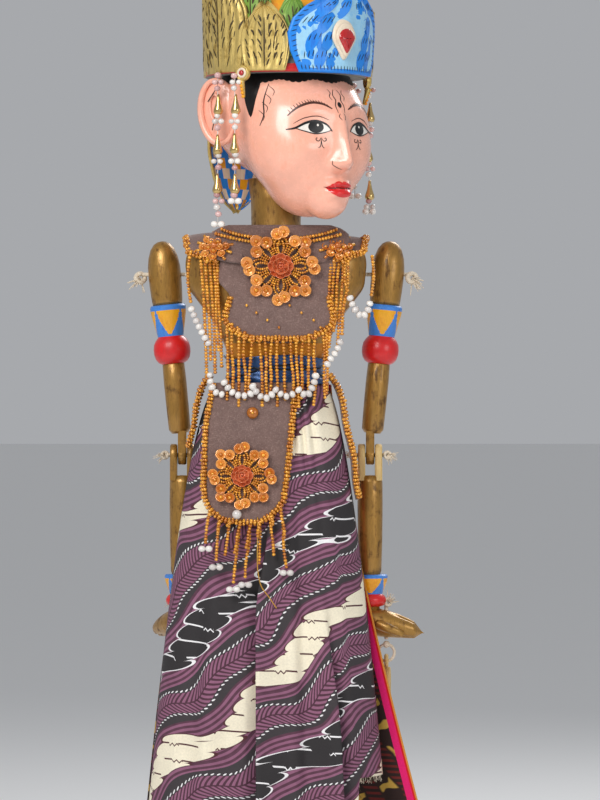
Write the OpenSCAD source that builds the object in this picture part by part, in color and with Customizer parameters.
// Wooden rod puppet in a wrapped cloth skirt: a turned head and leaf crown on a long carrying rod,
// a torso that turns on the rod, string-jointed arms and two hanging hand rods.
// Millimetres, +Z up, the puppet faces -Y. "Left" and "right" are the puppet's own sides.
// The origin is the centre of the foot of the carrying rod.

/* [Rod] */
// radius of the carrying rod's handle
rod_r = 8; // [6:0.5:10]
// radius of the rod's thin upper shaft, inside the torso
shaft_r = 5.5; // [4:0.5:6]
// height of the step that the torso rests on
step_z = 338; // [330:1:345]
// height that the shaft reaches inside the head
shaft_top = 470; // [455:1:480]

/* [Head] */
// how far the head is turned to the puppet's left at rest, in degrees
head_turn = 38; // [-60:1:60]
// radius of the neck
neck_r = 14; // [12:0.5:16]
// how far the middle of the head stands in front of the rod
head_forward = 9; // [5:1:14]
// height of the middle of the skull
skull_z = 508; // [500:1:515]
// radius of the skull
skull_r = 38; // [34:0.5:42]
// height of the underside of the crown
crown_z = 528; // [520:1:535]
// height of the very top
top_z = 589; // [575:1:600]
// radius of the crown's inner face
crown_r = 44; // [40:0.5:47]
// thickness of a crown leaf
leaf_t = 2.6; // [2:0.2:4]

/* [Torso] */
// half width across the shoulders
shoulder_w = 50; // [44:1:54]
// half width of the waist
waist_w = 23.4; // [20:0.2:27]
// height of the top of the torso
torso_top = 441; // [435:1:446]
// radius of the hole for the shaft
bore_r = 5.9; // [5:0.1:7]

/* [Arms] */
// distance of the arm's hole from the middle plane
arm_x = 61.7; // [56:0.1:66]
// distance of the elbow from the middle plane
elbow_x = 52; // [48:0.5:60]
// how far behind the rod the arms hang
arm_y = 15; // [8:1:18]
// height of the shoulder string
arm_z = 422; // [415:1:428]
// height of the elbow string
elbow_z = 322; // [310:1:330]
// greatest radius of the upper arm
arm_r = 9.1; // [8:0.1:10]
// radius of the thin part of the arms
thin_r = 6.2; // [5:0.1:7]
// radius of the strings
string_r = 1.3; // [0.8:0.1:1.6]
// distance from the wrist to the string hole in the hand
grip_x = 9; // [7:0.5:14]
// direction of the right hand, counted from straight out to the right side, in degrees
right_hand_turn = 60; // [0:5:80]

/* [Hand rods] */
// radius of a hand rod
hand_rod_r = 2.6; // [2:0.1:4]
// height of the lower end of a hand rod
hand_rod_foot = 4; // [2:1:60]

/* [Cloth] */
// thickness of the cloth
cloth_t = 0.8; // [0.6:0.1:1.5]
// thickness of the felt
felt_t = 1.6; // [1:0.1:2.5]
// height of the skirt's waist edge
skirt_top = 361; // [350:1:365]
// height of the skirt's hem
hem_z = 104; // [90:1:130]
// height of the front cloth's raised corner
corner_z = 146; // [110:1:160]
// radius of a string of beads
bead_r = 1.1; // [0.8:0.1:1.5]

/* [Show] */
// which piece to show

/* [Hidden] */
$fn = 48;
lean = atan((arm_x - elbow_x) / (arm_z - elbow_z));
eye_z = 208;
loop_r = 4.6;
wrist_z = 238;
band_z = 256;
apron_tilt = 6.8;
thread_pts = [
    [-9.8, -32, 289], [-9.7, -33.6, 284], [-9.8, -35.2, 276], [-9.9, -36.4, 268],
    [-9.6, -37.2, 260], [-7.8, -38.2, 252], [-3.6, -38.6, 246], [0.5, -38.4, 240]
];
thread_r = 0.3;

// ---------- helpers ----------

// a round bar from point a to point b
module bar(a, b, r1, r2) {
    d = b - a;
    len = norm(d);
    translate(a)
        rotate([0, acos(d[2] / len), atan2(d[1], d[0])])
            cylinder(h = len, r1 = r1, r2 = r2);
}

// a cylinder along X, centred on its middle
module across(r, len) {
    rotate([0, 90, 0])
        cylinder(h = len, r = r, center = true);
}

// puts its children in the head's own frame, which faces -Y before the head is turned
module in_head() {
    rotate([0, 0, head_turn])
        translate([0, -head_forward, 0])
            children();
}

// draws its children on the puppet's left, or mirrored on its right
module on_side(side) {
    if (side > 0) {
        children();
    } else {
        mirror([1, 0, 0])
            children();
    }
}

// four thin discs that bound one level of the torso
module level(z, w, front, back, r) {
    for (sx = [-1, 1]) {
        for (y = [r - front, back - r]) {
            translate([sx * (w - r), y, z])
                cylinder(h = 0.02, r = r, $fn = 32);
        }
    }
}

// a wall that stands along a list of paths, one per height, all with the same number of points
function perp(p, i, n) =
    let (a = p[max(i - 1, 0)], b = p[min(i + 1, n - 1)], d = [b[0] - a[0], b[1] - a[1]])
    [d[1], -d[0], 0] / norm(d);

module wall(paths, t) {
    rows = len(paths);
    n = len(paths[0]);
    outer = [for (p = paths) for (i = [0 : n - 1]) p[i]];
    inner = [for (p = paths) for (i = [0 : n - 1]) p[i] - t * perp(p, i, n)];
    m = rows * n;
    quads = concat(
        [for (r = [0 : rows - 2]) for (i = [0 : n - 2])
            [r * n + i, r * n + i + 1, (r + 1) * n + i + 1, (r + 1) * n + i]],
        [for (r = [0 : rows - 2]) for (i = [0 : n - 2])
            [m + r * n + i + 1, m + r * n + i, m + (r + 1) * n + i, m + (r + 1) * n + i + 1]],
        [for (i = [0 : n - 2]) [i + 1, i, m + i, m + i + 1]],
        [for (i = [0 : n - 2]) let (k = (rows - 1) * n) [k + i, k + i + 1, m + k + i + 1, m + k + i]],
        [for (r = [0 : rows - 2]) [r * n, (r + 1) * n, m + (r + 1) * n, m + r * n]],
        [for (r = [0 : rows - 2]) let (k = r * n + n - 1) [k + n, k, m + k, m + k + n]]
    );
    faces = [for (q = quads) for (h = [0, 1]) h == 0 ? [q[0], q[1], q[2]] : [q[0], q[2], q[3]]];
    polyhedron(points = concat(outer, inner), faces = faces, convexity = 8);
}

// a thin round thread through a list of points
function side_way(p, i) =
    let (a = p[max(i - 1, 0)], b = p[min(i + 1, len(p) - 1)], d = (b - a) / norm(b - a))
    let (u = cross(d, [0, 1, 0]), v = u / norm(u)) [v, cross(v, d)];

module thread(p, r, sides) {
    n = len(p);
    pts = [for (i = [0 : n - 1]) let (f = side_way(p, i)) for (k = [0 : sides - 1])
        p[i] + r * (cos(360 * k / sides) * f[0] + sin(360 * k / sides) * f[1])];
    tube = [for (i = [0 : n - 2]) for (k = [0 : sides - 1])
        [i * sides + k, i * sides + (k + 1) % sides, (i + 1) * sides + (k + 1) % sides, (i + 1) * sides + k]];
    ends = [[for (k = [0 : sides - 1]) sides - 1 - k], [for (k = [0 : sides - 1]) (n - 1) * sides + k]];
    polyhedron(points = pts, faces = concat(tube, ends), convexity = 4);
}

// ---------- rod, head and crown ----------

module main_rod() {
    color("peru") {
        cylinder(h = step_z - 12, r = rod_r);
        translate([0, 0, step_z - 12])
            cylinder(h = 12, r1 = rod_r, r2 = rod_r + 3);
        cylinder(h = shaft_top, r = shaft_r);
    }
}

module head() {
    color("lightpink")
    difference() {
        union() {
            in_head() {
                hull() {
                    translate([0, 0, skull_z + 4])
                        sphere(r = skull_r, $fn = 32);
                    translate([0, -12, skull_z - 6])
                        sphere(r = 33, $fn = 32);
                    translate([0, -26, 467])
                        sphere(r = 16, $fn = 32);
                }
                hull() {
                    translate([0, -45, 500])
                        sphere(r = 2.5, $fn = 24);
                    translate([0, -46, 487])
                        sphere(r = 6, $fn = 24);
                }
                for (side = [-1, 1]) {
                    translate([side * 37, 8, 510])
                        across(15, 6);
                }
            }
            translate([0, 0, torso_top + 0.5])
                cylinder(h = 45, r = neck_r);
            translate([0, 0, torso_top - 15])
                cylinder(h = 30, r = 11);
        }
        translate([0, 0, crown_z])
            cylinder(h = 60, r = 80);
        cylinder(h = shaft_top + 0.3, r = shaft_r + 0.1);
    }
}

module crown_cap() {
    color("orange")
    in_head() {
        rotate_extrude()
            polygon([
                [0, crown_z + 0.1], [crown_r - 0.3, crown_z + 0.1], [crown_r - 0.3, 545],
                [crown_r - 4, 556], [34, 568], [24, 577], [10, 583], [4, top_z], [0, top_z]
            ]);
    }
}

// one leaf cut from a round wall: turn is counted from the puppet's front towards its right
module leaf(turn, half_w, low, high, r) {
    rotate([0, 0, -turn])
    intersection() {
        difference() {
            translate([0, 0, low])
                cylinder(h = high - low, r = r + leaf_t);
            translate([0, 0, low - 1])
                cylinder(h = high - low + 2, r = r);
        }
        rotate([90, 0, 0])
            linear_extrude(height = 80)
                polygon([
                    [-half_w * 0.8, low], [-half_w, low + (high - low) * 0.45],
                    [-half_w * 0.55, low + (high - low) * 0.82], [0, high],
                    [half_w * 0.55, low + (high - low) * 0.82], [half_w, low + (high - low) * 0.45],
                    [half_w * 0.8, low]
                ]);
    }
}

module crown_crest() {
    color("dodgerblue")
    in_head()
        leaf(0, 36, crown_z + 0.2, 580, crown_r + leaf_t + 0.4);
}

module crown_jewel() {
    color("red")
    in_head()
        translate([0, -(crown_r + 2 * leaf_t + 0.6), 546])
            rotate([90, 0, 0])
                linear_extrude(height = 3)
                    polygon([[0, -11], [-5.5, 2], [-4, 7], [0, 9], [4, 7], [5.5, 2]]);
}

module crown_leaves() {
    color("goldenrod")
    in_head() {
        for (side = [-1, 1]) {
            leaf(side * 64, 19, crown_z + 0.2, 570, crown_r);
            leaf(side * 117, 18, crown_z + 0.2, 584, crown_r);
        }
    }
}

module crown_tail() {
    color("darkgoldenrod")
    in_head() {
        leaf(180, 24, crown_z - 3, 582, crown_r);
        intersection() {
            difference() {
                translate([0, 0, 457])
                    cylinder(h = crown_z - 457, r = crown_r + leaf_t);
                translate([0, 0, 456])
                    cylinder(h = crown_z - 454, r = crown_r);
            }
            rotate([-90, 0, 0])
                linear_extrude(height = 80)
                    polygon([[-24, -crown_z], [-27, -490], [-16, -464], [0, -457], [16, -464], [27, -490], [24, -crown_z]]);
        }
    }
}

module ear_flowers() {
    color("gold")
    in_head() {
        for (side = [-1, 1]) {
            rotate([0, 0, side * 74])
                translate([0, -(crown_r + leaf_t + 0.3), 532])
                    rotate([90, 0, 0])
                        cylinder(h = 2.5, r = 5);
        }
    }
}

// a string of pearls and drops hanging from z = high to z = low
module pearl_string(high, low) {
    translate([0, 0, low + 2])
        cylinder(h = high - low - 2, r = 0.6);
    count = floor((high - low) / 16);
    for (i = [0 : count - 1]) {
        translate([0, 0, low + 16 * i]) {
            translate([0, 0, 2.2])
                sphere(r = 2.2, $fn = 24);
            translate([0, 0, 4])
                cylinder(h = 9, r1 = 2.7, r2 = 1);
        }
    }
}

module earring(side) {
    color("whitesmoke")
    in_head() {
        translate([side * 45, -17, 0])
            pearl_string(crown_z - 0.4, 458);
        translate([side * 46.5, -4, 0])
            pearl_string(crown_z - 0.4, 452);
    }
}

// ---------- torso and what is sewn on it ----------

module torso() {
    color("darkgoldenrod")
    difference() {
        union() {
            hull() {
                level(torso_top, shoulder_w - 10, 12, 14, 8);
                level(434, shoulder_w - 0.6, 17, 19, 10);
            }
            hull() {
                level(434, shoulder_w - 0.6, 17, 19, 10);
                level(414, shoulder_w, 18, 19, 10);
            }
            hull() {
                level(414, shoulder_w, 18, 19, 10);
                level(395, 34, 18, 16, 14);
            }
            hull() {
                level(395, 34, 18, 16, 14);
                level(368, waist_w, 16, 14, 13);
            }
            hull() {
                level(368, waist_w, 16, 14, 13);
                level(350, 26, 18, 16, 15);
            }
            hull() {
                level(350, 26, 18, 16, 15);
                level(step_z + 0.3, 24, 16, 14, 14);
            }
        }
        translate([0, 0, 300])
            cylinder(h = 160, r = bore_r);
        translate([0, 0, torso_top - 15.4])
            cylinder(h = 40, r = 11.3);
        translate([0, arm_y, arm_z])
            across(string_r + 0.1, 140);
    }
}

module shoulder_string() {
    color("linen")
    translate([0, arm_y, arm_z])
        across(string_r, 2 * shoulder_w - 6);
}

module belt() {
    color("midnightblue")
    difference() {
        hull() {
            level(362, waist_w + 3.4, 19.2, 17.4, 14);
            level(376, waist_w + 5, 18.8, 16.8, 14);
        }
        hull() {
            level(361, waist_w + 2.2, 18, 16.2, 13);
            level(377, waist_w + 4, 17.6, 15.6, 13);
        }
    }
}

// the bib's outline, in X and Z
function bib_half(s) = [
    [s * 12, 447], [s * 34, 446], [s * 37, 438], [s * 32, 429], [s * 34, 420],
    [s * 28, 409], [s * 29, 398], [s * 21, 389], [s * 9, 384]
];

module bib() {
    color("rosybrown")
    difference() {
        translate([2, -18.4, 0])
            rotate([90, 0, 0])
                linear_extrude(height = felt_t)
                    polygon(concat(bib_half(1), [for (i = [8 : -1 : 0]) bib_half(-1)[i]]));
        translate([0, 0, 430])
            cylinder(h = 40, r = neck_r + 1);
    }
}

// a flower of eight round petals with a raised middle, lying against y = 0 and facing -Y
module flower(r) {
    rotate([90, 0, 0]) {
        cylinder(h = 5, r = r * 0.32);
        cylinder(h = 1.2, r = r * 0.5);
        for (i = [0 : 7]) {
            rotate([0, 0, 45 * i])
                translate([r * 0.7, 0, 0])
                    cylinder(h = 2.4, r = r * 0.24);
        }
    }
}

module bib_brooch() {
    color("darkorange")
    translate([2.7, -18.4 - felt_t - 0.1, 425])
        flower(24);
}

// strings of beads side by side: n of them from x1 to x2, hanging from high to low1..low2
module bead_row(n, x1, x2, y1, y2, high, low1, low2) {
    for (i = [0 : n - 1]) {
        k = i / (n - 1);
        x = x1 + (x2 - x1) * k;
        low = low1 + (low2 - low1) * (i % 2);
        bar([x, y2, low], [x, y1, high], bead_r, bead_r);
    }
}

module bib_fringe() {
    color("goldenrod")
    bead_row(11, -24, 28, -21.4, -27.2, 392, 350.5, 356);
}

// felt that lies over a shoulder, from the chest to the back
module shoulder_wing(side) {
    color("rosybrown")
    on_side(side)
        translate([17, 1, 422])
            rotate([0, 90, 0])
                difference() {
                    cylinder(h = 30, r = 25);
                    translate([0, 0, -1])
                        cylinder(h = 32, r = 25 - felt_t);
                    translate([0, -50, -1])
                        cube([60, 100, 40]);
                    rotate([0, 0, -48])
                        translate([0, -50, -1])
                            cube([60, 50, 40]);
                }
}

module side_fringe(side) {
    color("goldenrod")
    on_side(side) {
        for (i = [0 : 4]) {
            bar([41.2 - 2.6 * i, -22.4, 366 + 4 * i], [43 - 2.6 * i, -22.4, 426], bead_r, bead_r);
        }
    }
}

module apron() {
    color("rosybrown")
    translate([0, -21.3, 362])
        rotate([-apron_tilt, 0, 0])
            translate([0, 0, -362])
                rotate([90, 0, 0])
                    linear_extrude(height = felt_t - 0.7)
                        polygon([
                            [-34, 362], [-38, 340], [-39, 305], [-36, 294], [-26, 287],
                            [-14, 285], [-4, 289], [4, 297], [8, 330], [11, 362]
                        ]);
}

module on_apron() {
    translate([0, -20.6, 362])
        rotate([-apron_tilt, 0, 0])
            translate([0, -felt_t - 0.1, -362])
                children();
}

module apron_button() {
    color("orange")
    on_apron()
        translate([-13, 0, 345])
            rotate([90, 0, 0])
                cylinder(h = 3, r = 3.4);
}

module apron_brooch() {
    color("darkorange")
    on_apron()
        translate([-18, 0, 311])
            flower(20);
}

module apron_fringe() {
    color("goldenrod")
    bead_row(8, -38, 6, -33.6, -36.4, 284, 256, 266);
}

// felt and beads that hang edge-on at a hip, over the skirt's edge
function flap_x(z) = 29 + 16 * pow(max(0, (366 - z)) / 69, 0.6);

module hip_flap(side) {
    low = side > 0 ? 298 : 326;
    out = side > 0 ? 0 : 6.8;
    steps = 8;
    zs = [for (i = [0 : steps]) 366 + (low - 366) * i / steps];
    color("rosybrown")
    on_side(side)
        translate([0, 5, 0])
            rotate([90, 0, 0])
                linear_extrude(height = 14)
                    polygon(concat(
                        [for (z = zs) [flap_x(z) + out, z]],
                        [for (i = [steps : -1 : 0]) [flap_x(zs[i]) + out + felt_t, zs[i]]]
                    ));
}

// half widths and depths of the skirt, u running from the waist (0) to the hem (1)
function front_right(u) = 31 + 42 * pow(u, 0.56);
function front_left(u) = 26.5 + 36 * pow(u, 0.6);
function back_right(u) = 32 + 43 * pow(u, 0.6);
function back_left(u) = 30 + 56 * pow(u, 1.25);
function front_deep(u) = 20.2 + 21.8 * pow(u, 0.8);
function back_deep(u) = 17 + 22 * pow(u, 0.7);
function back_narrow(u) = 28 + 10 * pow(u, 0.5);

function front_path(u, n) = [for (i = [0 : n])
    let (a = 180 + 180 * i / n, hem = i / n > 0.8 ? corner_z : hem_z)
    [
        (cos(a) < 0 ? front_right(u) : front_left(u)) * cos(a),
        -0.4 + front_deep(u) * sin(a),
        skirt_top + (hem - skirt_top) * u
    ]];

function back_path(u, n) = concat(
    [[back_left(u), 0.8, skirt_top + (hem_z - skirt_top) * u]],
    [for (i = [0 : n])
        let (a = 6 + 168 * i / n)
        [back_narrow(u) * cos(a), 1.2 + back_deep(u) * sin(a), skirt_top + (hem_z - skirt_top) * u]],
    [[-back_right(u), 0.8, skirt_top + (hem_z - skirt_top) * u]]
);

module skirt_front() {
    color("rebeccapurple")
    wall([for (k = [0 : 9]) front_path(k / 9, 24)], cloth_t);
}

module skirt_back() {
    color("mediumvioletred")
    wall([for (k = [0 : 9]) back_path(k / 9, 22)], cloth_t);
}

module loose_thread() {
    color("gold")
    thread(thread_pts, thread_r, 8);
}

// ---------- arms ----------

module shoulder_knot(side) {
    color("linen")
    on_side(side)
        translate([0, arm_y, arm_z]) {
            translate([(shoulder_w + 0.6 + 75) / 2, 0, 0])
                across(string_r, 74.4 - shoulder_w);
            translate([75, 0, 0])
                sphere(r = 4, $fn = 32);
        }
}

// the upper arm's own frame: its hole at the origin, its length along -Z
module in_arm() {
    translate([arm_x, arm_y, arm_z])
        rotate([0, lean, 0])
            children();
}

module upper_arm(side) {
    color("peru")
    on_side(side)
        difference() {
            union() {
                in_arm()
                    rotate_extrude()
                        polygon([
                            [0, 18.5], [4, 17.4], [6.9, 13.4], [8.6, 7], [arm_r, 1], [arm_r, -6], [8.5, -16],
                            [5.4, -17], [5.4, -49.4], [thin_r, -49.6], [thin_r, -88], [0, -88]
                        ]);
                translate([elbow_x, arm_y, elbow_z]) {
                    across(7, 5);
                    translate([-2.5, -5, 0])
                        cube([5, 10, 16]);
                }
            }
            translate([arm_x, arm_y, arm_z])
                across(string_r + 0.3, 40);
            translate([elbow_x, arm_y, elbow_z])
                across(string_r + 0.3, 40);
        }
}

module armband(side) {
    color("gold")
    on_side(side)
        in_arm()
            rotate_extrude()
                polygon([
                    [5.5, -17.2], [9.7, -17.2], [9.7, -20], [7, -34], [8.6, -36], [9.7, -39.6],
                    [9.7, -44.4], [8.6, -48], [6.6, -49.3], [5.5, -49.3]
                ]);
}

module elbow_string(side) {
    color("linen")
    on_side(side)
        translate([elbow_x, arm_y, elbow_z]) {
            across(string_r, 20);
            for (x = [-10, 10]) {
                translate([x, 0, 0])
                    sphere(r = 3, $fn = 32);
            }
        }
}

// the forearm's own frame: the wrist at the origin, turned as its hand is
module at_wrist(side) {
    turn = side > 0 ? 0 : right_hand_turn;
    on_side(side)
        translate([elbow_x, arm_y, wrist_z])
            rotate([0, 0, turn])
                children();
}

module forearm(side) {
    color("peru")
    difference() {
        union() {
            on_side(side)
                translate([elbow_x, arm_y, elbow_z]) {
                    for (x = [-4.6, 4.6]) {
                        translate([x, 0, 0])
                            across(7.4, 3.4);
                        translate([x - 1.7, -6, -13])
                            cube([3.4, 12, 13]);
                    }
                    translate([0, 0, band_z - elbow_z])
                        cylinder(h = elbow_z - band_z - 11, r = 6.7);
                    translate([0, 0, wrist_z - elbow_z - 6])
                        cylinder(h = 40, r = 5.2);
                }
            at_wrist(side)
                hull() {
                    translate([2, 0, -8.6])
                        sphere(r = 8, $fn = 32);
                    translate([14, 0, -10])
                        sphere(r = 7.4, $fn = 32);
                    translate([25, 0, -12.6])
                        sphere(r = 5, $fn = 32);
                }
        }
        on_side(side)
            translate([elbow_x, arm_y, elbow_z])
                across(string_r + 0.1, 40);
        at_wrist(side)
            translate([grip_x, 0, -40])
                cylinder(h = 60, r = string_r + 0.1);
    }
}

module wristband(side) {
    color("gold")
    on_side(side)
        translate([elbow_x, arm_y, 0])
            rotate_extrude()
                polygon([
                    [5.4, 255.8], [9.8, 255.8], [9.8, 253], [6.8, 246], [8, 244.4], [9, 242],
                    [8.6, 239.6], [7.2, 238.6], [5.4, 238.6]
                ]);
}

module hand_string(side) {
    color("linen")
    at_wrist(side) {
        translate([grip_x, 0, -18.2])
            cylinder(h = 18.4, r = string_r);
        translate([grip_x + 2.5, 0, 1.1])
            sphere(r = 2.2, $fn = 32);
    }
}

// the foot of a hand's string, where the hand rod hangs, in the frame of the whole puppet
function grip(side) =
    let (turn = side > 0 ? 0 : right_hand_turn)
    [side * (elbow_x + grip_x * cos(turn)), arm_y + grip_x * sin(turn), 0];

module rod_loop(side) {
    color("linen")
    translate(grip(side)) {
        translate([0, 0, eye_z + 2 * loop_r])
            sphere(r = 2, $fn = 24);
        translate([0, 0, eye_z + loop_r])
            rotate([90, 0, 0])
                rotate_extrude()
                    translate([loop_r, 0])
                        circle(r = 0.9, $fn = 24);
    }
}

module hand_rod(side) {
    color("burlywood")
    translate(grip(side))
        difference() {
            union() {
                translate([0, 0, hand_rod_foot])
                    cylinder(h = eye_z - 3 - hand_rod_foot, r = hand_rod_r);
                translate([0, 0, eye_z])
                    across(3.8, 2.6);
            }
            translate([0, 0, eye_z])
                across(1.8, 20);
        }
}

main_rod();
head();
crown_cap();
crown_crest();
crown_jewel();
crown_leaves();
crown_tail();
ear_flowers();
earring(-1);  // earring_right
earring(1);  // earring_left
torso();
shoulder_string();
belt();
bib();
bib_brooch();
bib_fringe();
shoulder_wing(-1);  // shoulder_wing_right
shoulder_wing(1);  // shoulder_wing_left
side_fringe(-1);  // side_fringe_right
side_fringe(1);  // side_fringe_left
apron();
apron_button();
apron_brooch();
apron_fringe();
hip_flap(-1);  // hip_flap_right
hip_flap(1);  // hip_flap_left
skirt_front();
skirt_back();
loose_thread();
shoulder_knot(-1);  // shoulder_knot_right
shoulder_knot(1);  // shoulder_knot_left
upper_arm(-1);  // upper_arm_right
upper_arm(1);  // upper_arm_left
armband(-1);  // armband_right
armband(1);  // armband_left
forearm(-1);  // forearm_right
forearm(1);  // forearm_left
wristband(-1);  // wristband_right
wristband(1);  // wristband_left
elbow_string(-1);  // elbow_string_right
elbow_string(1);  // elbow_string_left
hand_string(-1);  // hand_string_right
hand_string(1);  // hand_string_left
rod_loop(-1);  // rod_loop_right
rod_loop(1);  // rod_loop_left
hand_rod(-1);  // hand_rod_right
hand_rod(1);  // hand_rod_left
